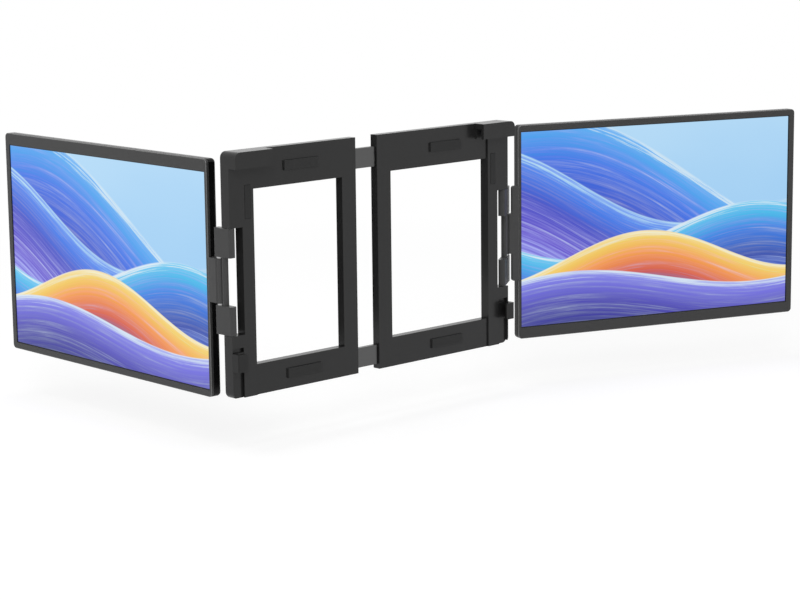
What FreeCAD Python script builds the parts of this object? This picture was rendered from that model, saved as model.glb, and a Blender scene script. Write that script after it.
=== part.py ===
import FreeCAD, Part
import math
import os
import re
import Sketcher
from FreeCAD import Placement, Rotation, Vector

# Laptop screen extender: two screens on double-axis hinges, carried by a telescoping
# bracket that hooks over a laptop's lid.  X runs to the user's right, Y away from the
# user, Z up.  The origin lies on the lid's glass, midway, at the foot of its display.

SIZES = {
    # screens
    "active_w": 272.8,        # lit width
    "active_h": 170.5,        # lit height
    "border_in": 2.45,        # front frame beside the hinge
    "border_out": 5.7,        # front frame on the outer side
    "border_thin": 5.4,       # front frame along its narrow long side
    "border_thick": 9.6,      # front frame along its wide long side
    "screen_t": 10.0,         # whole thickness
    "corner_r": 3.5,          # corners seen from the front
    "bezel_edge": 0.5,        # chamfer round the front
    "lip_t": 0.8,             # frame in front of the panel
    "panel_rim": 1.0,         # panel hidden behind the lip
    "panel_t": 1.4,
    "light_t": 0.8,
    "chassis_t": 0.6,
    "shell_wall": 1.6,
    "shell_round": 2.6,       # rounding of the back edges
    "shell_inset": 0.35,      # shadow groove between front frame and shell
    "groove_t": 0.8,
    "screen_z": 100.4,        # height of the screens' and hinges' middle
    # hinges
    "pivot_in": 2.9,          # frame axis inside the half's outer face
    "pivot_y": 8.3,
    "edge_reach": 10.7,       # screen axis to the screen's edge
    "face_set": 3.4,          # screen axis behind the display's front
    "left_link": 11.3,        # between the two axes of the left link
    "stack_gap": 0.6,         # between the two folded screens
    "link_t": 6.0,
    "link_end": 3.7,          # link beyond an axis
    "link_round": 1.5,
    "block_h": 22.4,
    "knuckle_h": 34.6,
    "washer_t": 1.2,
    "washer_r": 2.8,
    "run_gap": 0.3,           # between parts that pass each other
    "knuckle_r": 2.85,
    "bar_r": 2.5,
    "pin_r": 1.8,
    "pin_fit": 0.05,
    "pin_seat": 8.0,          # frame pin held in the stile
    "pin_reach": 20.0,        # frame pin in the link
    "leaf_t": 2.0,            # tongue of the leaf inside the screen
    "leaf_in": 19.0,          # tongue past the screen's edge
    "leaf_plate_t": 2.6,      # full-height plate of the right leaf
    "plate_gap": 0.35,        # plate to the link's swinging end
    "plate_round": 2.0,
    # bracket
    "skirt_t": 2.1,           # hook's wall beside the lid
    "frame_front": 4.3,
    "rail_front": 5.6,
    "frame_back": 12.7,
    "rib_back": 14.5,
    "rib_w": 4.9,
    "cap_t": 4.55,            # hook's wall over the lid
    "frame_bottom": 9.8,
    "stile_w": 24.5,
    "notch_w": 13.0,
    "top_h": 30.3,
    "bottom_h": 24.0,
    "inner_w": 15.0,
    "left_end": 21.2,         # free end of the left half from the middle
    "right_end": 2.4,         # free end of the right half from the middle
    "frame_round": 5.0,
    # hooks over the lid's corners
    "lid_t": 4.0,
    "lid_half_w": 152.05,
    "lid_top": 194.5,
    "lid_gap": 0.35,
    "hook_w": 38.0,
    "lip_front": 4.0,         # lip ahead of the lid's glass
    "hook_t": 2.4,
    "hook_drop": 7.0,
    "pad_t": 0.9,
    "rest_x": 62.0,           # pads on the rails, from the middle
    "rest_l": 36.0,
    "rest_h": 8.0,
    "rest_set": 0.6,          # depth of the pads' seats
    "stile_rest_h": 26.0,
    "stile_rest_w": 6.0,
    # slide bars
    "slide_w": 16.0,
    "slide_t": 3.7,
    "slide_fit": 0.2,
    "slide_in": 32.0,         # bar held in the right half
    "slide_out": 102.0,       # bar past the right half's end
    # side clips
    "clip_h": 14.0,
    "clip_t": 1.9,
    "clip_lap": 7.0,          # lip over the bezel
    "clip_foot": 11.4,
    "clip_fit": 0.15,
    "clip_z": 38.5,
    "groove_wall": 1.0,       # wall between the clip's groove and the outer face
    "back_round": 1.5,
    "groove_top": 49.0,
    # keys, ports and screws
    "key_w": 2.2,
    "power_l": 11.6,
    "menu_l": 18.0,
    "key_in": 9.0,            # keys from the board's ends
    "key_fit": 0.3,
    "key_out": 0.7,
    "key_travel": 0.5,
    "board_t": 1.0,
    "board_w": 34.0,
    "board_h": 96.0,
    "port_w": 8.9,
    "wide_port_w": 11.4,
    "port_t": 3.2,
    "port_l": 7.4,
    "port_pitch": 15.0,
    "screw_r": 1.0,
    "screw_head_r": 1.9,
    "screw_head_t": 1.0,
    "screw_fit": 0.05,
    "tongue_w": 12.0,         # catches that hold the front frame in the shell
    "tongue_t": 1.0,
    "tongue_l": 2.4,
    "seat_w": 6.0,            # ribs on the shell's floor
}
# poses of the photograph, in degrees: links from straight out, screens from flat
LEFT_LINK_BACK = 90.0
RIGHT_LINK_BACK = 34.9
LEFT_YAW = -92.84
RIGHT_YAW = 19.76

doc = FreeCAD.newDocument("screen_extender")
sheet = doc.addObject("Spreadsheet::Sheet", "Sizes")
for row, (word, value) in enumerate(SIZES.items(), start=1):
    sheet.set("A%d" % row, word)
    sheet.set("B%d" % row, str(value))
    sheet.setAlias("B%d" % row, word)
doc.recompute()

# sums of the sheet's values that several pieces share
SUMS = {
    "frame_x": "(lid_half_w + lid_gap + skirt_t)",
    "pivot_x": "(lid_half_w + lid_gap + skirt_t - pivot_in)",
    "frame_top": "(lid_top + pad_t + lid_gap + cap_t)",
    "key_z": "(board_h / 2 - key_in)",
    "screen_w": "(border_in + active_w + border_out)",
    "screen_h": "(border_thin + active_h + border_thick)",
    "half_h": "((border_thin + active_h + border_thick) / 2)",
    "bezel_t": "(lip_t + panel_t + light_t)",
    "outer_x": "(edge_reach + border_in + active_w + border_out)",
    "front_y": "(-face_set)",
    "back_y": "(screen_t - face_set)",
    "split_y": "(bezel_t - face_set)",
    "floor_y": "(screen_t - shell_wall - face_set)",
    "chassis_y": "(bezel_t + chassis_t - face_set)",
    "right_link": "(left_link + screen_t + stack_gap)",
    "block_0": "(knuckle_h / 2 + run_gap + washer_t)",
    "block_1": "(knuckle_h / 2 + run_gap + washer_t + block_h)",
    "notch_1": "(knuckle_h / 2 + 2 * run_gap + washer_t + block_h)",
    "under": "(lid_top + pad_t + lid_gap)",
    "upper_mid": "(frame_top - top_h + slide_w / 2 + 5)",
    "lower_mid": "(frame_bottom + bottom_h / 2)",
    "slide_y": "((rail_front + frame_back) / 2)",
    "key_y": "(chassis_y + key_w / 2 + key_fit + 0.4)",
    "board_y": "(chassis_y + port_t)",
}


def spelled(text):
    """A size expression with its sums written out and every word bound to the sheet."""
    text = str(text)
    for _ in range(4):
        text = re.sub(r"[A-Za-z_]\w*", lambda m: SUMS.get(m.group(0), m.group(0)), text)
    return re.sub(r"[A-Za-z_]\w*", lambda m: "Sizes." + m.group(0) if m.group(0) in SIZES else m.group(0), text)


gauge = doc.addObject("Part::Box", "Gauge")
KNOWN = {}


def number(text):
    """The present value in mm of a size expression, read off a gauge block's position."""
    if text not in KNOWN:
        gauge.setExpression("Placement.Base.x", spelled(text))
        gauge.recompute()
        KNOWN[text] = gauge.Placement.Base.x
    return KNOWN[text]


def new_body(label):
    body = doc.addObject("PartDesign::Body", label)
    body.Label = label
    body.AllowCompound = True
    return body


def plane_of(body, role):
    return next(f for f in body.Origin.OriginFeatures if f.Role == role)


def outline(sketch, points):
    """Add a closed outline of straight lines, each corner tied to the sheet."""
    at = [Vector(number(u), number(v), 0) for u, v in points]
    first = sketch.GeometryCount
    for i, start in enumerate(at):
        sketch.addGeometry(Part.LineSegment(start, at[(i + 1) % len(at)]), False)
    for i, (u, v) in enumerate(points):
        line = first + i
        sketch.addConstraint(Sketcher.Constraint("Coincident", line, 2, first + (i + 1) % len(at), 1))
        for kind, text, value in (("DistanceX", u, at[i].x), ("DistanceY", v, at[i].y)):
            index = sketch.addConstraint(Sketcher.Constraint(kind, -1, 1, line, 1, value))
            sketch.setExpression("Constraints[%d]" % index, spelled(text))


def circle(sketch, u, v, radius):
    """Add a circle whose centre and radius are tied to the sheet."""
    centre = Vector(number(u), number(v), 0)
    ring = sketch.addGeometry(Part.Circle(centre, Vector(0, 0, 1), number(radius)), False)
    for kind, text, value in (("DistanceX", u, centre.x), ("DistanceY", v, centre.y)):
        index = sketch.addConstraint(Sketcher.Constraint(kind, -1, 1, ring, 3, value))
        sketch.setExpression("Constraints[%d]" % index, spelled(text))
    index = sketch.addConstraint(Sketcher.Constraint("Radius", ring, number(radius)))
    sketch.setExpression("Constraints[%d]" % index, spelled(radius))


def rect(u0, u1, v0, v1):
    return [(u0, v0), (u1, v0), (u1, v1), (u0, v1)]


def prism(body, plane, low, high, shapes, cut=False):
    """Pad or pocket outlines between two places along the plane's axis.

    XY carries outlines in x, y and runs along z; YZ in y, z along x; XZ in x, z along y.
    """
    sketch = body.newObject("Sketcher::SketchObject", body.Label + "_outline")
    sketch.AttachmentSupport = [(plane_of(body, plane + "_Plane"), "")]
    sketch.MapMode = "FlatFace"
    start = high if (plane == "XZ") != cut else low
    sign = "-1 * " if plane == "XZ" else ""
    sketch.setExpression("AttachmentOffset.Base.z", sign + "(" + spelled(start) + ")")
    for shape in shapes:
        if isinstance(shape, tuple):
            circle(sketch, *shape)
        else:
            outline(sketch, shape)
    before = body.Tip.Shape.Volume if cut else 0
    feature = body.newObject("PartDesign::Pocket" if cut else "PartDesign::Pad", body.Label + "_step")
    feature.Profile = sketch
    feature.Length = number("(" + high + ") - (" + low + ")")
    feature.setExpression("Length", spelled("(" + high + ") - (" + low + ")"))
    doc.recompute()
    if cut and not feature.Shape.Volume < before - 1e-6:
        raise ValueError("nothing cut in " + body.Label)
    return feature


def dress(body, kind, size, wanted):
    """Fillet or chamfer the edges of the present solid that the test picks."""
    base = body.Tip
    names = []
    for i, edge in enumerate(base.Shape.Edges, start=1):
        box = edge.BoundBox
        if wanted(box):
            names.append("Edge%d" % i)
    feature = body.newObject("PartDesign::" + kind, body.Label + "_" + kind.lower())
    feature.Base = (base, names)
    key = "Radius" if kind == "Fillet" else "Size"
    setattr(feature, key, number(size))
    feature.setExpression(key, spelled(size))
    doc.recompute()
    return feature


def near(value, text, slack=0.02):
    return abs(value - number(text)) < slack


def along_y(box):
    return box.XLength < 1e-4 and box.ZLength < 1e-4


def along_z(box):
    return box.XLength < 1e-4 and box.YLength < 1e-4


mid_notch = "screen_z + notch_1 + 6"   # foot of the stile's pad, just above the hinge


def side_x(side, text):
    return "%d * (%s)" % (side, text)


NODES = []


def keep(item, label, placement=None):
    """Name a finished piece and, for the moving parts, set it in its pose."""
    item.Label = label
    if placement is not None:
        item.Placement = placement
    NODES.append((label, item))


def pose(side, x, y, turn):
    """Placement of a piece drawn outwards from its axis, for the right side.

    The left side's piece is the same one turned half round in its own plane.
    """
    flip = Rotation() if side > 0 else Rotation(Vector(0, 1, 0), 180)
    spin = Rotation(Vector(0, 0, 1), turn)
    return Placement(Vector(x, y, number("screen_z")), spin.multiply(flip))


def rests(x, gap):
    """Outlines of the pads that rest on the lid's back, drawn in by a gap: two on the rails, one on the stile."""
    low, high = x("rest_x + " + gap), x("rest_x + rest_l - " + gap)
    mid = "frame_bottom + bottom_h / 2"
    top = "frame_top - top_h / 2"
    rail = [rect(low, high, level + " - rest_h / 2 + " + gap, level + " + rest_h / 2 - " + gap) for level in (mid, top)]
    stile = rect(x("frame_x - stile_w + 3 + " + gap), x("frame_x - stile_w + 3 + stile_rest_w - " + gap),
                 mid_notch + " + " + gap, mid_notch + " + stile_rest_h - " + gap)
    return rail, [stile]


def build_frame(side, name):
    """One bracket half: a ring with a notch for the hinge and a hook at its top corner."""
    def x(text):
        return side_x(side, text)

    end = "left_end" if side < 0 else "right_end"
    frame = new_body(name + "_frame")
    ring = [(x(end), "frame_bottom"), (x("frame_x"), "frame_bottom"), (x("frame_x"), "frame_top"),
            (x(end), "frame_top")]
    prism(frame, "XZ", "rail_front", "frame_back", [ring])
    window = rect(x(end + " + inner_w"), x("frame_x - stile_w"), "frame_bottom + bottom_h", "frame_top - top_h")
    prism(frame, "XZ", "rail_front", "frame_back", [window], cut=True)
    prism(frame, "XZ", "frame_front", "rail_front",
          [rect(x("frame_x - stile_w"), x("frame_x"), "frame_bottom", "frame_top")])
    prism(frame, "XZ", "frame_back", "rib_back",
          [rect(x("frame_x - rib_w"), x("frame_x"), "frame_bottom", "frame_top")])
    # hook: cap over the lid's edge, lip before its bezel, skirt beside it
    prism(frame, "XY", "lid_top - hook_drop", "frame_top",
          [rect(x("frame_x - hook_w"), x("frame_x"), "-lip_front", "rail_front + 0.5")])
    inside = rect(x("frame_x - hook_w - 1"), x("lid_half_w + lid_gap"), "hook_t - lip_front", "frame_front")
    prism(frame, "XY", "lid_top - hook_drop", "under", [inside], cut=True)
    # outer corners: round seen from the front
    dress(frame, "Fillet", "frame_round",
          lambda b: along_y(b) and near(abs(b.XMin), "frame_x") and near(b.ZMin, "frame_top"))
    dress(frame, "Fillet", "frame_round",
          lambda b: along_y(b) and near(abs(b.XMin), "frame_x") and near(b.ZMin, "frame_bottom"))
    dress(frame, "Fillet", "back_round", lambda b: b.YLength < 1e-4 and near(b.YMin, "rib_back")
          and near(max(abs(b.XMin), abs(b.XMax)), "frame_x"))
    # notch for the hinge
    mid = "screen_z"
    prism(frame, "YZ", "-frame_x - 1" if side < 0 else "frame_x - notch_w",
          "notch_w - frame_x" if side < 0 else "frame_x + 1",
          [rect("frame_front - 1", "rib_back + 1", mid + " - notch_1", mid + " + notch_1")], cut=True)
    for a, b in (("-notch_1 - pin_seat", "-notch_1"), ("notch_1", "notch_1 + pin_seat")):
        prism(frame, "XY", mid + " + (" + a + ")", mid + " + (" + b + ")",
              [(x("pivot_x"), "pivot_y", "pin_r + pin_fit")], cut=True)
    # channels for the slide bars
    reach = "slide_in" if side > 0 else "slide_out + right_end - left_end + 18"
    for level in ("upper_mid", "lower_mid"):
        bore = rect("slide_y - slide_t / 2 - slide_fit", "slide_y + slide_t / 2 + slide_fit",
                    level + " - slide_w / 2 - slide_fit", level + " + slide_w / 2 + slide_fit")
        low, high = (end, end + " + " + reach) if side > 0 else ("-(%s + %s)" % (end, reach), "-" + end)
        prism(frame, "YZ", low, high, [bore], cut=True)
    if side > 0:
        for level in ("upper_mid", "lower_mid"):
            prism(frame, "XZ", "slide_y", "frame_back",
                  [(end + " + slide_in / 2", level, "screw_r + screw_fit")], cut=True)
            prism(frame, "XZ", "frame_back - screw_head_t", "frame_back",
                  [(end + " + slide_in / 2", level, "screw_head_r + screw_fit")], cut=True)
    # seats of the front pads and the clip's groove
    rail_rests, stile_rest = rests(x, "0")
    prism(frame, "XZ", "rail_front", "rail_front + rest_set", rail_rests, cut=True)
    prism(frame, "XZ", "frame_front", "frame_front + rest_set", stile_rest, cut=True)
    prism(frame, "XZ", "frame_front", "frame_front + clip_t + 2 * clip_fit",
          [rect(x("frame_x - clip_foot"), x("frame_x - groove_wall"), "frame_bottom - 1", "groove_top")], cut=True)
    prism(frame, "XZ", "frame_front + 0.8", "frame_front + clip_t + 2 * clip_fit",
          [rect(x("frame_x - clip_foot - 2"), x("frame_x - clip_foot"), "frame_bottom - 1", "groove_top")], cut=True)
    keep(frame, name + "_frame")

    pad = new_body(name + "_hook_pad")
    far, edge = "frame_x - hook_w + 1", "lid_half_w - 1"
    profile = [("hook_t - lip_front", "lid_top - hook_drop + 0.5"), ("-lid_gap", "lid_top - hook_drop + 0.5"),
               ("-lid_gap", "under - pad_t"), ("frame_front - 0.2", "under - pad_t"),
               ("frame_front - 0.2", "under"), ("hook_t - lip_front", "under")]
    low, high = (far, edge) if side > 0 else ("-(%s)" % edge, "-(%s)" % far)
    prism(pad, "YZ", low, high, [profile])
    keep(pad, name + "_hook_pad")

    pads = new_body(name + "_back_pads")
    rail_rests, stile_rest = rests(x, "0.3")
    prism(pads, "XZ", "lid_t + 0.1", "frame_front + rest_set", stile_rest)
    prism(pads, "XZ", "lid_t + 0.1", "rail_front + rest_set", rail_rests)
    keep(pads, name + "_back_pads")


def build_clip(side, name):
    """A clip that slides in the stile's groove and laps over the lid's bezel."""
    def x(text):
        return side_x(side, text)

    clip = new_body(name + "_clip")
    base = "frame_front + clip_fit"
    back = "frame_front + clip_fit + clip_t"
    inner = "frame_x - clip_foot + clip_fit"
    profile = [(x(inner), base), (x("lid_half_w + lid_gap"), base),
               (x("lid_half_w + lid_gap"), "-lid_gap - 0.5"),
               (x("lid_half_w - clip_lap"), "-lid_gap - 0.5"),
               (x("lid_half_w - clip_lap"), "-lid_gap - 0.5 - clip_t"),
               (x("frame_x"), "-lid_gap - 0.5 - clip_t"), (x("frame_x"), "frame_front - clip_fit"),
               (x("frame_x - groove_wall - clip_fit"), "frame_front - clip_fit"),
               (x("frame_x - groove_wall - clip_fit"), back),
               (x(inner + " - 1.8"), back), (x(inner + " - 1.8"), "frame_front + 0.8 + clip_fit"),
               (x(inner), "frame_front + 0.8 + clip_fit")]
    level = "clip_z"
    prism(clip, "XY", level + " - clip_h / 2", level + " + clip_h / 2", [profile])
    dress(clip, "Fillet", "clip_t / 2",
          lambda b: along_z(b) and near(abs(b.XMin), "frame_x") and near(b.YMin, "-lid_gap - 0.5 - clip_t"))
    dress(clip, "Fillet", "clip_t",
          lambda b: along_y(b) and near(abs(b.XMin), "lid_half_w - clip_lap"))
    keep(clip, name + "_clip")

    pad = new_body(name + "_clip_pad")
    low, high = x("lid_half_w - clip_lap + 1"), x("lid_half_w - 0.5")
    prism(pad, "XZ", "-lid_gap - 0.5", "-lid_gap",
          [rect(low, high, level + " - clip_h / 2 + 2.2", level + " + clip_h / 2 - 2.2")])
    keep(pad, name + "_clip_pad")


def build_link(side, name, length, turn):
    """The link: two blocks joined by a round bar, on the frame's pins and the screen's pin."""
    seat = pose(side, side * number("pivot_x"), number("pivot_y"), turn)
    link = new_body(name + "_link")
    plan = rect("-link_end", length + " + link_end", "-link_t / 2", "link_t / 2")
    prism(link, "XY", "-block_1", "block_1", [plan])
    dress(link, "Fillet", "link_round", along_z)
    waist = [rect("-link_end - 1", length + " + link_end + 1", "-link_t", "link_t"), (length + " / 2", "0", "bar_r")]
    prism(link, "XY", "-block_0", "block_0", waist, cut=True)
    for a, b in (("-block_1", "-block_1 + pin_reach"), ("block_1 - pin_reach", "block_1")):
        prism(link, "XY", a, b, [("0", "0", "pin_r + pin_fit")], cut=True)
    for a, b in (("-block_1 + 3", "-block_0"), ("block_0", "block_1 - 3")):
        prism(link, "XY", a, b, [(length, "0", "pin_r + pin_fit")], cut=True)
    keep(link, name + "_link", seat)

    pins = new_body(name + "_frame_pins")
    prism(pins, "XY", "-notch_1 - pin_seat", "-block_1 + pin_reach - 0.3", [("0", "0", "pin_r")])
    prism(pins, "XY", "block_1 - pin_reach + 0.3", "notch_1 + pin_seat", [("0", "0", "pin_r")])
    keep(pins, name + "_frame_pins", seat)

    pin = new_body(name + "_screen_pin")
    prism(pin, "XY", "-block_1 + 3", "block_1 - 3", [(length, "0", "pin_r")])
    keep(pin, name + "_screen_pin", seat)

    rings = new_body(name + "_screen_washers")
    for a, b in (("-block_0", "-block_0 + washer_t"), ("block_0 - washer_t", "block_0")):
        prism(rings, "XY", a, b, [(length, "0", "washer_r"), (length, "0", "pin_r + pin_fit")])
    keep(rings, name + "_screen_washers", seat)
    far = number(length)
    angle = math.radians(turn)
    return side * (number("pivot_x") + far * math.cos(angle)), number("pivot_y") + side * far * math.sin(angle)


def build_leaf(name, seat, tall):
    """The screen's half of the hinge: a knuckle, a flat flush with the display, a tongue inside."""
    leaf = new_body(name + "_leaf")
    plan = [("1.9", "front_y"), ("edge_reach", "front_y"), ("edge_reach", "chassis_y + 0.2"),
            ("edge_reach + leaf_in", "chassis_y + 0.2"), ("edge_reach + leaf_in", "chassis_y + 0.2 + leaf_t"),
            ("0", "chassis_y + 0.2 + leaf_t"), ("-1.2", "0")]
    prism(leaf, "XY", "-knuckle_h / 2", "knuckle_h / 2", [plan])
    prism(leaf, "XY", "-knuckle_h / 2", "knuckle_h / 2", [("0", "0", "knuckle_r")])
    if tall:
        start = "sqrt((link_end - link_round)^2 + (link_t / 2 - link_round)^2) + link_round + plate_gap"
        prism(leaf, "XZ", "front_y", "front_y + leaf_plate_t", [rect(start, "edge_reach", "-block_1", "block_1")])
        dress(leaf, "Fillet", "plate_round",
              lambda b: along_y(b) and near(abs(b.ZMin), "block_1") and near(b.XMin, start))
    prism(leaf, "XY", "-knuckle_h / 2", "knuckle_h / 2", [("0", "0", "pin_r + pin_fit")], cut=True)
    holes = [("edge_reach + leaf_in / 2", v) for v in ("-knuckle_h / 4", "knuckle_h / 4")]
    prism(leaf, "XZ", "chassis_y + 0.2", "chassis_y + 0.2 + leaf_t",
          [(u, v, "screw_r + screw_fit") for u, v in holes], cut=True)
    prism(leaf, "XZ", "chassis_y + 0.2", "chassis_y + 0.2 + screw_head_t",
          [(u, v, "screw_head_r + screw_fit") for u, v in holes], cut=True)
    keep(leaf, name + "_leaf", seat)

    screws = new_body(name + "_leaf_screws")
    prism(screws, "XZ", "chassis_y + 0.2", "chassis_y + 0.2 + screw_head_t",
          [(u, v, "screw_head_r") for u, v in holes])
    prism(screws, "XZ", "chassis_y + 0.2 + screw_head_t", "floor_y",
          [(u, v, "screw_r") for u, v in holes])
    keep(screws, name + "_leaf_screws", seat)


def build_screen(side, name, seat):
    """One screen, drawn outwards from its hinge axis, display towards -Y, wide border down."""
    out = "outer_x"
    left, right = "edge_reach + border_in", "outer_x - border_out"
    low, high = "border_thick - half_h", "half_h - border_thin"

    bezel = new_body(name + "_bezel")
    prism(bezel, "XZ", "front_y + lip_t", "split_y",
          [rect("edge_reach + shell_inset", out + " - shell_inset", "shell_inset - half_h", "half_h - shell_inset")])
    dress(bezel, "Fillet", "corner_r - shell_inset", along_y)
    prism(bezel, "XZ", "front_y", "split_y - groove_t", [rect("edge_reach", out, "-half_h", "half_h")])
    dress(bezel, "Fillet", "corner_r", lambda b: along_y(b) and near(b.YMax, "split_y - groove_t"))
    dress(bezel, "Chamfer", "bezel_edge", lambda b: b.YLength < 1e-4 and near(b.YMin, "front_y"))
    prism(bezel, "XZ", "front_y + lip_t", "split_y",
          [rect(left + " - panel_rim", right + " + panel_rim", low + " - panel_rim", high + " + panel_rim")], cut=True)
    prism(bezel, "XZ", "front_y", "front_y + lip_t", [rect(left, right, low, high)], cut=True)
    rise = "half_h - shell_wall - 0.1"
    tongues = [rect(u + " - tongue_w / 2", u + " + tongue_w / 2", low_v, high_v)
               for u in ("edge_reach + screen_w / 6", "edge_reach + screen_w / 2", "edge_reach + screen_w * 5 / 6")
               for low_v, high_v in (("-(" + rise + ")", "tongue_t - (" + rise + ")"), (rise + " - tongue_t", rise))]
    prism(bezel, "XZ", "split_y", "split_y + tongue_l", tongues)
    keep(bezel, name + "_bezel", seat)

    panel = new_body(name + "_panel")
    prism(panel, "XZ", "front_y + lip_t", "front_y + lip_t + panel_t",
          [rect(left + " - panel_rim + 0.1", right + " + panel_rim - 0.1", low + " - panel_rim + 0.1",
                high + " + panel_rim - 0.1")])
    keep(panel, name + "_panel", seat)

    light = new_body(name + "_backlight")
    prism(light, "XZ", "front_y + lip_t + panel_t", "split_y",
          [rect(left + " - panel_rim + 0.1", right + " + panel_rim - 0.1", low + " - panel_rim + 0.1",
                high + " + panel_rim - 0.1")])
    keep(light, name + "_backlight", seat)

    chassis = new_body(name + "_chassis")
    prism(chassis, "XZ", "split_y", "chassis_y",
          [rect("edge_reach + shell_wall + 0.3", out + " - shell_wall - 0.3", "tongue_t + 0.2 - (" + rise + ")",
                rise + " - tongue_t - 0.2")])
    keep(chassis, name + "_chassis", seat)

    shell = new_body(name + "_shell")
    prism(shell, "XZ", "split_y", "back_y", [rect("edge_reach", out, "-half_h", "half_h")])
    dress(shell, "Fillet", "corner_r", along_y)
    dress(shell, "Fillet", "shell_round", lambda b: b.YLength < 1e-4 and near(b.YMin, "back_y"))
    prism(shell, "XZ", "split_y", "floor_y",
          [rect("edge_reach + shell_wall", out + " - shell_wall", "shell_wall - half_h", "half_h - shell_wall")],
          cut=True)
    prism(shell, "XZ", "chassis_y + 0.2 + leaf_t", "floor_y + 0.2",
          [rect("edge_reach + shell_wall - 0.2", "edge_reach + leaf_in", "-knuckle_h / 2", "knuckle_h / 2")])
    board_low, board_high = "-board_h / 2", "board_h / 2"
    board_in = out + " - shell_wall - 0.3 - board_w"
    prism(shell, "XZ", "board_y + board_t", "floor_y + 0.2",
          [rect(board_in, out + " - shell_wall - 0.3", board_low, board_low + " + seat_w"),
           rect(board_in, out + " - shell_wall - 0.3", board_high + " - seat_w", board_high)])
    prism(shell, "YZ", "edge_reach - 0.5", "edge_reach + shell_wall + 0.1",
          [rect("chassis_y + 0.1", "chassis_y + 0.3 + leaf_t", "-knuckle_h / 2 - 0.1", "knuckle_h / 2 + 0.1")],
          cut=True)
    prism(shell, "XZ", "chassis_y + 0.2 + leaf_t", "floor_y + 0.2",
          [("edge_reach + leaf_in / 2", v, "screw_r + screw_fit") for v in ("-knuckle_h / 4", "knuckle_h / 4")],
          cut=True)
    ports = [("-port_pitch", "port_w"), ("0", "port_w"), ("port_pitch", "wide_port_w")]
    prism(shell, "YZ", out + " - shell_wall - 0.1", out + " + 0.5",
          [rect("chassis_y - 0.05", "board_y + 0.2", z + " - " + wide + " / 2 - key_fit",
                z + " + " + wide + " / 2 + key_fit") for z, wide in ports], cut=True)
    keys = {"power": ("key_z", "power_l"), "menu": ("-key_z", "menu_l")}
    for z, long in keys.values():
        prism(shell, "YZ", out + " - shell_wall - 0.1", out + " + 0.5",
              [rect("key_y - key_w / 2 - key_fit", "key_y + key_w / 2 + key_fit",
                    z + " - " + long + " / 2 - key_fit", z + " + " + long + " / 2 + key_fit")], cut=True)
    vent = prism(shell, "XZ", "floor_y", "back_y",
                 [rect("edge_reach + 92", "edge_reach + 94", "half_h - 34", "half_h - 16")], cut=True)
    repeat(shell, vent, 10, "9 * 10")
    keep(shell, name + "_shell", seat)

    board = new_body(name + "_board")
    edge = out + " - shell_wall - 0.3"
    prism(board, "XZ", "board_y", "board_y + board_t", [rect(edge + " - board_w", edge, board_low, board_high)])
    for z, long in keys.values():
        prism(board, "XZ", "key_y - key_w / 2", "board_y",
              [rect(edge + " - 6", edge + " - 0.8 - key_fit - key_travel", z + " - 2", z + " + 2")])
    keep(board, name + "_board", seat)

    shells = new_body(name + "_ports")
    for z, wide in ports:
        prism(shells, "YZ", out + " - 0.2 - port_l", out + " - 0.2",
              [rect("chassis_y", "board_y", z + " - " + wide + " / 2", z + " + " + wide + " / 2")])
    prism(shells, "YZ", out + " - 0.2 - port_l + 1", out + " - 0.2",
          [rect("chassis_y + 0.4", "board_y - 0.4", z + " - " + wide + " / 2 + 0.4",
                z + " + " + wide + " / 2 - 0.4") for z, wide in ports], cut=True)
    keep(shells, name + "_ports", seat)

    for word, (z, long) in keys.items():
        key = new_body(name + "_" + word + "_key")
        prism(key, "YZ", out + " - shell_wall - key_fit - 0.8", out + " + key_out",
              [rect("key_y - key_w / 2", "key_y + key_w / 2", z + " - " + long + " / 2", z + " + " + long + " / 2")])
        prism(key, "YZ", out + " - shell_wall - key_fit - 0.8", out + " - shell_wall - key_fit",
              [rect("key_y - key_w / 2", "key_y + key_w / 2",
                    z + " - " + long + " / 2 - 1.2", z + " + " + long + " / 2 + 1.2")])
        keep(key, name + "_" + word + "_key", seat)


def repeat(body, feature, count, span):
    """Repeat the last pocket along X."""
    row = body.newObject("PartDesign::LinearPattern", body.Label + "_row")
    row.Originals = [feature]
    row.Direction = (plane_of(body, "X_Axis"), [""])
    row.Length = number(span)
    row.setExpression("Length", spelled(span))
    row.Occurrences = count
    body.Tip = row
    doc.recompute()


def build_slides():
    """Two flat bars fixed in the right half that run in the left half's channels."""
    for name, level in (("upper_slide", "upper_mid"), ("lower_slide", "lower_mid")):
        bar = new_body(name)
        prism(bar, "YZ", "right_end - slide_out", "right_end + slide_in",
              [rect("slide_y - slide_t / 2", "slide_y + slide_t / 2", level + " - slide_w / 2",
                    level + " + slide_w / 2")])
        prism(bar, "XZ", "slide_y", "slide_y + slide_t / 2",
              [("right_end + slide_in / 2", level, "screw_r + screw_fit")], cut=True)
        keep(bar, name)
    screws = new_body("slide_screws")
    spots = [("right_end + slide_in / 2", level) for level in ("upper_mid", "lower_mid")]
    prism(screws, "XZ", "slide_y + 0.1", "frame_back - screw_head_t", [(u, v, "screw_r") for u, v in spots])
    prism(screws, "XZ", "frame_back - screw_head_t", "frame_back", [(u, v, "screw_head_r") for u, v in spots])
    keep(screws, "slide_screws")


def main():
    for side, name, back, yaw in ((-1, "left", LEFT_LINK_BACK, LEFT_YAW), (1, "right", RIGHT_LINK_BACK, RIGHT_YAW)):
        build_frame(side, name)
        build_clip(side, name)
        axis_x, axis_y = build_link(side, name, name + "_link", side * back)
        seat = pose(side, axis_x, axis_y, -side * yaw)
        build_leaf(name, seat, tall=side > 0)
        build_screen(side, name, seat)
    build_slides()
    doc.removeObject("Gauge")
    doc.recompute()


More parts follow.
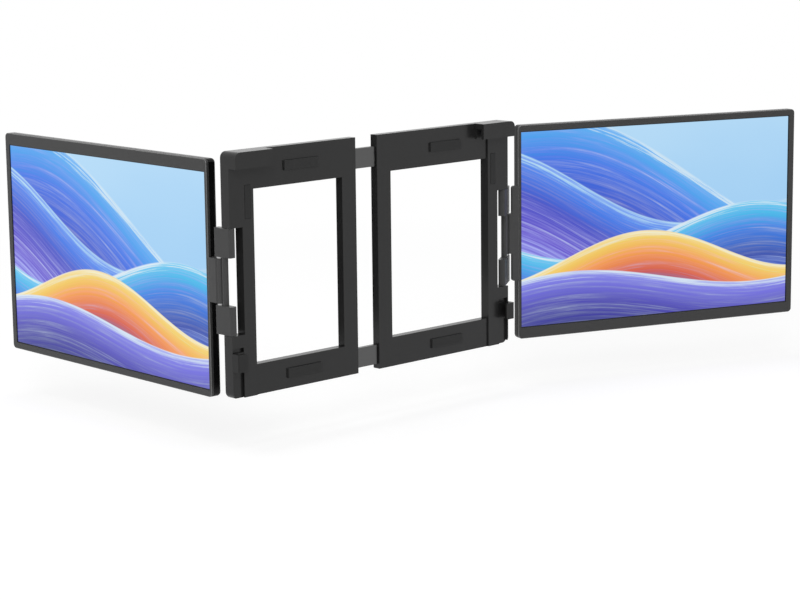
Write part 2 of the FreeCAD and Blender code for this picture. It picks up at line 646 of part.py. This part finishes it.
def write_parts():
    """Check every object and piece, then write one file for each piece."""
    for item in doc.Objects:
        if "Invalid" in item.State or "Error" in item.State:
            raise ValueError("failed: " + item.Label)
    for label, item in NODES:
        if item.Shape.isNull() or not item.Shape.isValid():
            raise ValueError("bad shape: " + label)
    os.makedirs("parts", exist_ok=True)
    for label, item in NODES:
        item.Shape.exportStep("parts/%s.step" % label)
        print(label, len(item.Shape.Solids), round(item.Shape.Volume, 1))


main()
write_parts()
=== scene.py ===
"""Laptop screen extender: two lit screens on double-axis hinges, hung on a telescoping bracket."""

import math

import bmesh
import bpy
import numpy as np
from mathutils import Matrix, Vector


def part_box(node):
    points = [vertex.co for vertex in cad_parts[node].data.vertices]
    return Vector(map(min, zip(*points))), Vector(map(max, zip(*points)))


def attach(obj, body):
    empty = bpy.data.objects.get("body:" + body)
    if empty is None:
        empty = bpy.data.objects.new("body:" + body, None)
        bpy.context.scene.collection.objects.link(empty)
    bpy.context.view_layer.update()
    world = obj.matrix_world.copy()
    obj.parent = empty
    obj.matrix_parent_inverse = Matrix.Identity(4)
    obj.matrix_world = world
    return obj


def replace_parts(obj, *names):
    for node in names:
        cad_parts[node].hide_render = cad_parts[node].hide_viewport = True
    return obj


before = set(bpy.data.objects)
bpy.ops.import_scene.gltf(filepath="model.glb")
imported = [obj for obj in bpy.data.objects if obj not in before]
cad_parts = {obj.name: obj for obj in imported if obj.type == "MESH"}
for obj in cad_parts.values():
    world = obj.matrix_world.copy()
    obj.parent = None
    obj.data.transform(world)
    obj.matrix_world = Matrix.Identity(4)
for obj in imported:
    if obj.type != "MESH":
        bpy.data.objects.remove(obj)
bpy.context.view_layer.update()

# hinges: sizes in metres and angles in radians, as in all that follows
SIDES = {"left": -1, "right": 1}
PIVOT_X, PIVOT_Y, MID_Z = 0.1516, 0.0083, 0.1004  # the bracket's hinge axes, and the screens' middle
LINK = {"left": 0.0113, "right": 0.0219}  # between a link's two axes
BACK = {"left": math.radians(90.0), "right": math.radians(34.9)}  # how far each link is swung back
YAW = {"left": math.radians(-92.84), "right": math.radians(19.76)}

# screens: lit area, borders round it, near edge's distance from the hinge axis
ACTIVE_W, ACTIVE_H = 0.2728, 0.1705
EDGE_REACH, BORDER_IN = 0.0107, 0.00245
BORDER_OUT, BORDER_THIN, BORDER_THICK = 0.0057, 0.0054, 0.0096
HALF_H = (BORDER_THIN + ACTIVE_H + BORDER_THICK) / 2
OUTER = EDGE_REACH + BORDER_IN + ACTIVE_W + BORDER_OUT
MARGIN, MARGIN_SOFT = 0.0006, 0.0002  # unlit edge of the panel, and how softly it ends

# ports on a screen's outer edge, low to high, and the tongues in them
PORT_Y, PORT_T, PORT_L, PORT_SET, PORT_PITCH = 0.0002, 0.0032, 0.0074, 0.0002, 0.015
PORT_W = {"low": 0.0089, "mid": 0.0089, "high": 0.0114}
TONGUE_FOOT, TONGUE_SIDE, TONGUE_HALF_T = 0.0009, 0.0012, 0.00035
TONGUE_STEPS = [[0.0, 1.0], [0.0040, 1.0], [0.0046, 0.96], [0.0049, 0.84], [0.0050, 0.6]]  # length, share

# socket screw from its head's top down: radius, height below the top, share of six-sidedness
HEAD_R, HEAD_T, SHANK_R = 0.0019, 0.0010, 0.0010
HEAD_ROWS = [[0.00175, -HEAD_T, 0], [HEAD_R, -0.00085, 0], [HEAD_R, -0.00022, 0], [0.00183, -0.00008, 0],
             [0.00168, 0.0, 0], [0.00118, 0.0, 0.6], [0.00108, -0.00008, 1], [0.00104, -0.00060, 1],
             [0.00010, -0.00072, 1]]

# the photograph's view: turn, height and roll in degrees, place in metres, focal length in its pixels
VIEW_TURN = (-44.496, 10.108, 0.642)
VIEW_PLACE = (-1.2956, -1.3399, 0.3996)
VIEW_FOCAL, VIEW_WIDTH, SENSOR_MM = 2351.703, 800.0, 36.0

# lamps: name, place, point they face, width in metres, watts
LAMPS = [
    ("top_lamp", (-0.3, 0.2, 2.2), (0, 0, 0.1), 2.0, 26),
    ("front_lamp", (-1.8, -1.6, 1.6), (0, 0, 0.1), 1.4, 19),
    ("side_lamp", (1.6, -1.8, 1.2), (0.1, 0, 0.1), 1.2, 3),
]
WORLD_SOFT, WORLD_SEEN = 0.30, 1.0
FLOOR_HALF, FLOOR_Z = 30.0, -0.032
FLOOR_SHADED, FLOOR_LIFT = 0.34, 0.74  # near the object: share that takes its shadow, and light of its own

# the picture on the screens: pale ground from its foot up, then ribbons from the furthest to the nearest
GROUND = [(0.1, (150, 205, 246)), (0.55, (165, 212, 249)), (0.9, (185, 224, 252))]
GLINT, HOLLOW = (226, 242, 255), (20, 34, 150)  # light and dark streaks
RIBBONS = [
    # a, b, f, p, slope, depth, streaks across it, colours from the fold down
    (0.98, 0.16, 0.62, 0.10, -0.42, 0.62, 34.0,
     [(0.0, (214, 240, 255)), (0.06, (70, 175, 250)), (0.35, (28, 105, 236)), (0.7, (48, 62, 196)),
      (1.0, (96, 140, 240))]),
    (0.78, 0.13, 0.78, 0.33, -0.30, 0.50, 46.0,
     [(0.0, (190, 232, 255)), (0.1, (52, 128, 245)), (0.4, (50, 60, 200)), (0.75, (104, 84, 214)),
      (1.0, (150, 150, 245))]),
    (0.50, 0.15, 0.70, 0.62, -0.10, 0.40, 52.0,
     [(0.0, (232, 248, 255)), (0.08, (60, 200, 245)), (0.35, (24, 120, 232)), (0.7, (20, 60, 170)),
      (1.0, (70, 110, 220))]),
    (0.34, 0.12, 0.86, 0.86, -0.02, 0.26, 40.0,
     [(0.0, (255, 250, 214)), (0.12, (255, 214, 70)), (0.45, (255, 150, 22)), (0.75, (226, 84, 34)),
      (1.0, (126, 54, 120))]),
    (0.17, 0.09, 0.66, 0.15, 0.06, 0.30, 44.0,
     [(0.0, (224, 240, 255)), (0.12, (120, 116, 236)), (0.5, (62, 52, 178)), (1.0, (30, 40, 120))]),
]


def screen_pose(name):
    """Matrix from a screen's own frame (x out from its hinge axis, y back, z up) to the whole part.

    The axis stands one link length from the bracket's axis, the link swung back by BACK; the screen is
    turned by YAW. The left screen is the right one turned half round in its own plane.
    """
    side = SIDES[name]
    x = side * (PIVOT_X + LINK[name] * math.cos(BACK[name]))
    y = PIVOT_Y + LINK[name] * math.sin(BACK[name])
    turn = Matrix.Rotation(-side * YAW[name], 4, "Z")
    flip = Matrix.Identity(4) if side > 0 else Matrix.Rotation(math.pi, 4, "Y")
    return Matrix.Translation((x, y, MID_Z)) @ turn @ flip


def level(v):
    """Linear value that renders as the given 0-255 level."""
    c = v / 255
    return c / 12.92 if c <= 0.04045 else ((c + 0.055) / 1.055) ** 2.4


def grey(v):
    """Linear grey for a 0-255 level."""
    return (level(v),) * 3


def tint(r, g, b):
    """Linear colour for three 0-255 levels."""
    return level(r), level(g), level(b)


# ---------------------------------------------------------------- camera
def photo_camera():
    """Camera at the photograph's place, built from its right, down and back directions, rolled a little."""
    az, el, roll = (math.radians(v) for v in VIEW_TURN)
    back = np.array([math.sin(az) * math.cos(el), -math.cos(az) * math.cos(el), math.sin(el)])
    right = np.cross(-back, [0, 0, 1.0])
    right /= np.linalg.norm(right)
    down = np.cross(-back, right)
    c, s = math.cos(roll), math.sin(roll)
    right, down = c * right + s * down, -s * right + c * down
    place = [[right[i], -down[i], back[i], p] for i, p in enumerate(VIEW_PLACE)]
    lens = bpy.data.cameras.new("photo_camera")
    lens.sensor_width = SENSOR_MM
    lens.lens = VIEW_FOCAL * SENSOR_MM / VIEW_WIDTH
    lens.clip_start, lens.clip_end = 0.05, 50.0
    camera = bpy.data.objects.new("photo_camera", lens)
    camera.matrix_world = Matrix(place + [[0, 0, 0, 1]])
    bpy.context.scene.collection.objects.link(camera)
    bpy.context.scene.camera = camera


# ---------------------------------------------------------------- materials
class Weave:
    """Short calls for laying out one tree of shader nodes."""

    def __init__(self, owner):
        owner.use_nodes = True
        self.tree = owner.node_tree

    def link(self, out, socket):
        self.tree.links.new(out, socket)

    def put(self, socket, value):
        if isinstance(value, bpy.types.NodeSocket):
            self.link(value, socket)
        else:
            socket.default_value = value

    def node(self, kind, *values, **named):
        """New node of a kind, with inputs linked or set in their order or by name."""
        node = self.tree.nodes.new("ShaderNode" + kind)
        for key, value in [*enumerate(values), *named.items()]:
            self.put(node.inputs[key], value)
        return node

    def math(self, op, a, b=0.0, c=0.0, clamp=False):
        node = self.node("Math", a, b, c)
        node.operation, node.use_clamp = op, clamp
        return node.outputs[0]

    def less(self, value):
        """One minus the value."""
        return self.math("SUBTRACT", 1.0, value)

    def vector(self, op, *values):
        node = self.node("VectorMath", *values)
        node.operation = op
        return node.outputs["Value"]

    def noise(self, vector, scale, detail=3.0, rough=0.5, distortion=0.0):
        return self.node("TexNoise", Vector=vector, Scale=scale, Detail=detail, Roughness=rough,
                         Distortion=distortion).outputs["Fac"]

    def mapped(self, vector, location=(0, 0, 0), rotation=(0, 0, 0), scale=(1, 1, 1)):
        return self.node("Mapping", Vector=vector, Location=location, Rotation=rotation,
                         Scale=scale).outputs["Vector"]

    def ramp(self, fac, stops, smooth):
        """Colours by value, from stops of (value, 0-255 levels)."""
        node = self.node("ValToRGB", fac)
        node.color_ramp.interpolation = smooth
        while len(node.color_ramp.elements) < len(stops):
            node.color_ramp.elements.new(0.5)
        for element, (at, colour) in zip(node.color_ramp.elements, stops):
            element.position, element.color = at, (*tint(*colour), 1)
        return node.outputs["Color"]

    def mix(self, fac, a, b):
        node = self.tree.nodes.new("ShaderNodeMix")
        node.data_type = "RGBA"
        colours = ((*v, 1) if isinstance(v, tuple) else v for v in (a, b))
        for socket, value in zip((node.inputs[0], node.inputs[6], node.inputs[7]), (fac, *colours)):
            self.put(socket, value)
        return node.outputs[2]

    def seen_ray(self):
        """One for rays from the camera, off gloss or through glass, and nought for all others."""
        paths = self.node("LightPath").outputs
        total = self.math("MAXIMUM", paths["Is Camera Ray"], paths["Is Glossy Ray"])
        return self.math("MAXIMUM", total, paths["Is Transmission Ray"])


class Finish(Weave):
    """One material: its object coordinates, its faces' directions and its main shader."""

    def __init__(self, name):
        self.mat = bpy.data.materials.new(name)
        super().__init__(self.mat)
        self.shader = self.tree.nodes["Principled BSDF"]
        places = self.node("TexCoord").outputs
        self.coord, self.facing = places["Object"], places["Normal"]

    def bump(self, height, strength, distance):
        node = self.node("Bump", Strength=strength, Distance=distance, Height=height)
        self.set(Normal=node.outputs[0])

    def set(self, **values):
        for key, value in values.items():
            self.put(self.shader.inputs[key.replace("_", " ")], value)


def moulded(name, colour, rough, grain=900.0, depth=0.00002, coat=0.0, gloss=0.5, chamfer_highlight_front=None):
    """Moulded or painted surface: fine even grain in the bump, slow mottling of colour and gloss.

    Fine handling marks are noise drawn out along the height. Given a front direction, faces that lean
    about 45 degrees from it, the chamfers round a front, get a painted highlight in their colour and are
    smoother.
    """
    w = Finish(name)
    fine = w.noise(w.coord, grain, 4.0, 0.6)
    slow = w.noise(w.coord, 14.0, 3.0, 0.55)
    marks = w.noise(w.mapped(w.coord, scale=(160.0, 160.0, 22.0)), 1.0, 4.0, 0.7)
    dark, light = (tuple(min(1.0, c * share) for c in colour) for share in (0.88, 1.12))
    shade = w.mix(w.math("MULTIPLY_ADD", fine, 0.5, w.math("MULTIPLY", slow, 0.5)), dark, light)
    roughness = w.math("MULTIPLY_ADD", slow, 0.10, w.math("MULTIPLY_ADD", marks, 0.08, rough - 0.09))
    # painted highlight: chamfers about 45 degrees from the front get a light grey base colour for the lit
    # edge line; only their lower roughness is real
    if chamfer_highlight_front is not None:
        off = w.math("ABSOLUTE", w.math("SUBTRACT", w.vector("DOT_PRODUCT", w.facing, chamfer_highlight_front), 0.707))
        edge = w.math("SUBTRACT", 1.0, w.math("MULTIPLY", off, 5.0), clamp=True)
        shade = w.mix(edge, shade, grey(118))
        roughness = w.math("MULTIPLY_ADD", edge, -0.12, roughness)
    w.set(Base_Color=shade, Roughness=roughness, Coat_Weight=coat, Coat_Roughness=0.12,
          Specular_IOR_Level=gloss)
    w.bump(fine, 0.35, depth)
    return w.mat


def brushed(name, colour, rough, along):
    """Metal drawn along one direction: noise stretched along it in gloss and bump."""
    w = Finish(name)
    stretch = tuple(18.0 if axis == along else 900.0 for axis in "xyz")
    lines = w.noise(w.mapped(w.coord, scale=stretch), 1.0, 3.0, 0.6)
    w.set(Base_Color=w.mix(lines, tuple(c * 0.9 for c in colour), colour), Metallic=1.0,
          Roughness=w.math("MULTIPLY_ADD", lines, 0.16, rough - 0.08))
    w.bump(lines, 0.15, 0.00001)
    return w.mat


def ribbon(w, picture, u, v, a, b, f, p, slope, depth, streaks, colours):
    """One ribbon over the picture, hung from the curve v = a + b sin(2 pi (f u + p)) + slope u.

    Its colours follow the distance below the curve over its depth, stirred by noise stretched along the
    curve, whose highest parts are glints and whose lowest are hollows.
    """
    wave = w.math("SINE", w.math("MULTIPLY_ADD", u, 2 * math.pi * f, 2 * math.pi * p))
    curve = w.math("ADD", w.math("MULTIPLY_ADD", wave, b, a), w.math("MULTIPLY", u, slope))
    below = w.math("DIVIDE", w.math("SUBTRACT", curve, v), depth)
    across = w.math("MULTIPLY", below, streaks * depth)
    along = w.node("CombineXYZ", w.math("MULTIPLY", u, 1.6), across, p * 9).outputs[0]
    streak = w.noise(along, 1.6, 7.0, 0.68, 0.25)
    shade = w.ramp(w.math("ADD", below, w.math("MULTIPLY_ADD", streak, 0.62, -0.31)), colours, "LINEAR")
    shine = w.math("MULTIPLY", w.math("POWER", streak, 5.0), 5.0, clamp=True)
    shade = w.mix(w.math("MULTIPLY", shine, 0.5), shade, tint(*GLINT))
    deep = w.math("MULTIPLY", w.math("POWER", w.less(streak), 4.0), 2.2, clamp=True)
    shade = w.mix(w.math("MULTIPLY", deep, 0.32), shade, tint(*HOLLOW))
    return w.mix(w.math("MULTIPLY", below, 60.0, clamp=True), picture, shade)


def lit_picture(name, side):
    """The lit panel: folded ribbons of blue and violet light over a pale blue ground, with a warm fold.

    u runs across the picture and v up it, both from 0 to 1, found by undoing the screen's pose. Within
    MARGIN of the panel's edge nothing is lit.
    """
    w = Finish(name)
    place, turn, _ = screen_pose(side).inverted().decompose()
    local = w.node("SeparateXYZ", w.mapped(w.coord, location=place, rotation=turn.to_euler())).outputs
    near, foot = EDGE_REACH + BORDER_IN, BORDER_THICK - HALF_H
    u = w.math("MULTIPLY_ADD", local["X"], 1 / ACTIVE_W, -near / ACTIVE_W)
    v = w.math("MULTIPLY_ADD", local["Z"], 1 / ACTIVE_H, -foot / ACTIVE_H)
    if SIDES[side] < 0:
        u, v = w.less(u), w.less(v)
    slow = w.noise(w.node("CombineXYZ", u, v).outputs[0], 1.3, 2.0, 0.5)
    picture = w.ramp(w.math("MULTIPLY_ADD", slow, 0.35, w.math("MULTIPLY", v, 0.65)), GROUND, "EASE")
    for row in RIBBONS:
        picture = ribbon(w, picture, u, v, *row)
    across = w.math("MULTIPLY", w.math("MINIMUM", u, w.less(u)), ACTIVE_W)
    upward = w.math("MULTIPLY", w.math("MINIMUM", v, w.less(v)), ACTIVE_H)
    lit = w.math("MULTIPLY_ADD", w.math("MINIMUM", across, upward), 1 / MARGIN_SOFT, -MARGIN / MARGIN_SOFT,
                 clamp=True)
    w.set(Base_Color=(0.01, 0.01, 0.012, 1), Emission_Color=w.mix(lit, (0.0, 0.0, 0.0), picture),
          Emission_Strength=0.92, Roughness=0.32, Coat_Weight=0.0, Specular_IOR_Level=0.25)
    return w.mat


def dress_nodes():
    """Give every carried-over CAD node its own finish."""
    finishes = {
        "shell": moulded("shell_gloss_black", grey(14), 0.24, grain=1600, depth=0.000006, gloss=0.16),
        "leaf": moulded("leaf_satin", grey(74), 0.30, grain=1500, depth=0.00001, gloss=0.25),
        "link": moulded("link_satin", grey(72), 0.32, grain=1500, depth=0.00001, gloss=0.22),
        "frame": moulded("bracket_gloss_plastic", grey(42), 0.22, grain=1100, depth=0.000006, gloss=0.26),
        "clip": moulded("clip_plastic", grey(30), 0.28, grain=1100, depth=0.00001, gloss=0.25),
        "hook_pad": moulded("hook_rubber", grey(30), 0.85, grain=700, depth=0.00005),
        "back_pads": moulded("pad_rubber", grey(34), 0.85, grain=700, depth=0.00005),
        "clip_pad": moulded("clip_rubber", grey(30), 0.85, grain=700, depth=0.00005),
        "frame_pins": brushed("pin_steel", grey(196), 0.28, "z"),
        "screen_pin": brushed("screen_pin_steel", grey(190), 0.28, "z"),
        "screen_washers": brushed("washer_steel", grey(180), 0.32, "x"),
        "leaf_screws": brushed("screw_steel", grey(170), 0.3, "x"),
        "backlight": moulded("diffuser_white", grey(228), 0.5),
        "chassis": brushed("chassis_sheet", grey(186), 0.4, "x"),
        "board": moulded("board_lacquer", tint(16, 74, 42), 0.35, grain=500, coat=0.4),
        "ports": brushed("port_metal", grey(176), 0.3, "x"),
        "power_key": moulded("power_key_plastic", grey(40), 0.36, grain=1300),
        "menu_key": moulded("menu_key_plastic", grey(40), 0.36, grain=1300),
        "upper_slide": brushed("slide_bar", grey(92), 0.30, "x"),
    }
    finishes["lower_slide"] = finishes["upper_slide"]
    finishes["slide_screws"] = finishes["leaf_screws"]
    for side in SIDES:
        front = tuple(screen_pose(side).to_3x3() @ Vector((0, -1, 0)))
        # the bezels' front direction, from which their chamfers get a painted highlight
        finishes[side + "_bezel"] = moulded(side + "_bezel_black", grey(66), 0.34, grain=1400, depth=0.00001,
                                            gloss=0.25, chamfer_highlight_front=front)
        finishes[side + "_panel"] = lit_picture(side + "_picture", side)
    for name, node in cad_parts.items():
        node.data.materials.clear()
        node.data.materials.append(finishes.get(name) or finishes[name.partition("_")[2]])


# ---------------------------------------------------------------- fine pieces
def skin(name, rings, finish, body):
    """Closed surface through a stack of equal closed rings, rows by points by xyz, its two ends capped."""
    rows, count, _ = rings.shape
    i, j = np.meshgrid(np.arange(rows - 1) * count, np.arange(count), indexing="ij")
    after = (j + 1) % count
    quads = np.stack([i + j, i + after, i + count + after, i + count + j], -1)
    ends = [np.arange(count)[::-1].tolist(), (np.arange(count) + (rows - 1) * count).tolist()]
    mesh = bpy.data.meshes.new(name)
    mesh.from_pydata(rings.reshape(-1, 3).tolist(), [], quads.reshape(-1, 4).tolist() + ends)
    mesh.materials.append(finish)
    shape = bmesh.new()
    shape.from_mesh(mesh)
    bmesh.ops.recalc_face_normals(shape, faces=shape.faces)
    shape.to_mesh(mesh)
    shape.free()
    piece = bpy.data.objects.new(name, mesh)
    bpy.context.scene.collection.objects.link(piece)
    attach(piece, body)
    return piece


def socket_screws():
    """Two socket screws that hold the slide bars, heads level with the bracket's back.

    Each is turned about its axis: radius r at height h, from the shank's foot up over a rounded head and
    down into a six-sided socket. A share k of six-sidedness makes a ring's radius
    r (1 - k + k cos 30 / cos a), a being the angle from the nearest flat's middle.
    """
    low, high = (np.array(c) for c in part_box("slide_screws"))
    rows = np.array([[SHANK_R, low[1] - high[1], 0], [SHANK_R, -HEAD_T, 0], *HEAD_ROWS])
    turn = np.linspace(0, 2 * math.pi, 48, endpoint=False)
    flat = math.cos(math.pi / 6) / np.cos(np.mod(turn, math.pi / 3) - math.pi / 6)
    radius = rows[:, :1] * (1 - rows[:, 2:] + rows[:, 2:] * flat)
    depth = np.broadcast_to(high[1] + rows[:, 1:2], radius.shape)
    across = (low[0] + high[0]) / 2 + radius * np.cos(turn)
    finish = brushed("socket_screw_steel", grey(120), 0.3, "x")
    for word, z in (("lower", low[2] + HEAD_R), ("upper", high[2] - HEAD_R)):
        rings = np.stack([across, depth, z + radius * np.sin(turn)], -1)
        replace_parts(skin(word + "_slide_screw", rings, finish, "bracket_right"), "slide_screws")


def port_tongues():
    """Contact tongue in each port, narrowed at its tip.

    It is a flat bar along the port, with the rounded section |y/a|^4 + |z/b|^4 = 1.
    """
    turn = np.linspace(0, 2 * math.pi, 40, endpoint=False)
    thick, across = (np.sign(c) * np.abs(c) ** 0.5 for c in (np.sin(turn), np.cos(turn)))
    steps = np.array(TONGUE_STEPS)
    long, share = steps[:, :1], steps[:, 1:]
    x = np.broadcast_to(OUTER - PORT_SET - PORT_L + TONGUE_FOOT + long, (len(steps), len(turn)))
    y = PORT_Y + PORT_T / 2 + TONGUE_HALF_T * share * thick
    finish = moulded("tongue_plastic", grey(46), 0.45, grain=1200)
    for side in SIDES:
        pose = np.array(screen_pose(side))
        for place, (word, wide) in enumerate(PORT_W.items(), -1):
            z = place * PORT_PITCH + (wide / 2 - TONGUE_SIDE) * share * across
            rings = (np.stack([x, y, z, np.ones_like(x)], -1) @ pose.T)[..., :3]
            skin(side + "_" + word + "_tongue", rings, finish, side + "_screen")


# ---------------------------------------------------------------- studio
def studio_floor():
    """Pale floor a hand's breadth under the screens.

    Seen directly, in gloss or through glass it is white, with the object's soft shadow left near it.
    """
    s = FLOOR_HALF
    mesh = bpy.data.meshes.new("studio_floor")
    mesh.from_pydata([(-s, -s, 0), (s, -s, 0), (s, s, 0), (-s, s, 0)], [], [(0, 1, 2, 3)])
    floor = bpy.data.objects.new("studio_floor", mesh)
    floor.location.z = FLOOR_Z
    bpy.context.scene.collection.objects.link(floor)
    w = Finish("floor_white")
    w.set(Roughness=0.9, Specular_IOR_Level=0.0,
          Base_Color=w.mix(w.noise(w.coord, 0.8, 2.0), (0.78, 0.78, 0.78), (0.82, 0.82, 0.82)))
    far = w.math("MULTIPLY_ADD", w.vector("LENGTH", w.coord), 1.6, -0.9, clamp=True)
    shaded = w.node("BsdfDiffuse", Color=(FLOOR_SHADED, FLOOR_SHADED, FLOOR_SHADED, 1))
    lift = w.node("Emission", Strength=FLOOR_LIFT)
    both = w.node("AddShader", shaded.outputs[0], lift.outputs[0])
    fade = w.node("MixShader", far, both.outputs[0], w.node("Emission").outputs[0])
    seen = w.node("MixShader", w.seen_ray(), w.shader.outputs[0], fade.outputs[0])
    w.link(seen.outputs[0], w.tree.nodes["Material Output"].inputs["Surface"])
    mesh.materials.append(w.mat)


def studio_world():
    """White all round where it is seen, and a softer white light on the object."""
    world = bpy.data.worlds.new("studio_world")
    bpy.context.scene.world = world
    w = Weave(world)
    w.tree.nodes.clear()
    soft, white = (w.node("Background", Color=(1, 1, 1, 1), Strength=v) for v in (WORLD_SOFT, WORLD_SEEN))
    choose = w.node("MixShader", w.seen_ray(), soft.outputs[0], white.outputs[0])
    w.node("OutputWorld", choose.outputs[0])


def lamp(name, at, aim, width, watts):
    """Round lamp at a place, turned to face a point."""
    data = bpy.data.lights.new(name, "AREA")
    data.shape, data.size, data.energy = "DISK", width, watts
    ahead = np.array(aim, float) - np.array(at, float)
    ahead /= np.linalg.norm(ahead)
    side = np.cross(ahead, [0, 0, 1.0])
    side /= np.linalg.norm(side)
    up = np.cross(side, ahead)
    place = [[side[i], up[i], -ahead[i], at[i]] for i in range(3)]
    body = bpy.data.objects.new(name, data)
    body.matrix_world = Matrix(place + [[0, 0, 0, 1]])
    bpy.context.scene.collection.objects.link(body)


dress_nodes()
socket_screws()
port_tongues()
studio_floor()
studio_world()
for row in LAMPS:
    lamp(*row)
photo_camera()
bpy.context.scene.view_settings.view_transform = "Standard"
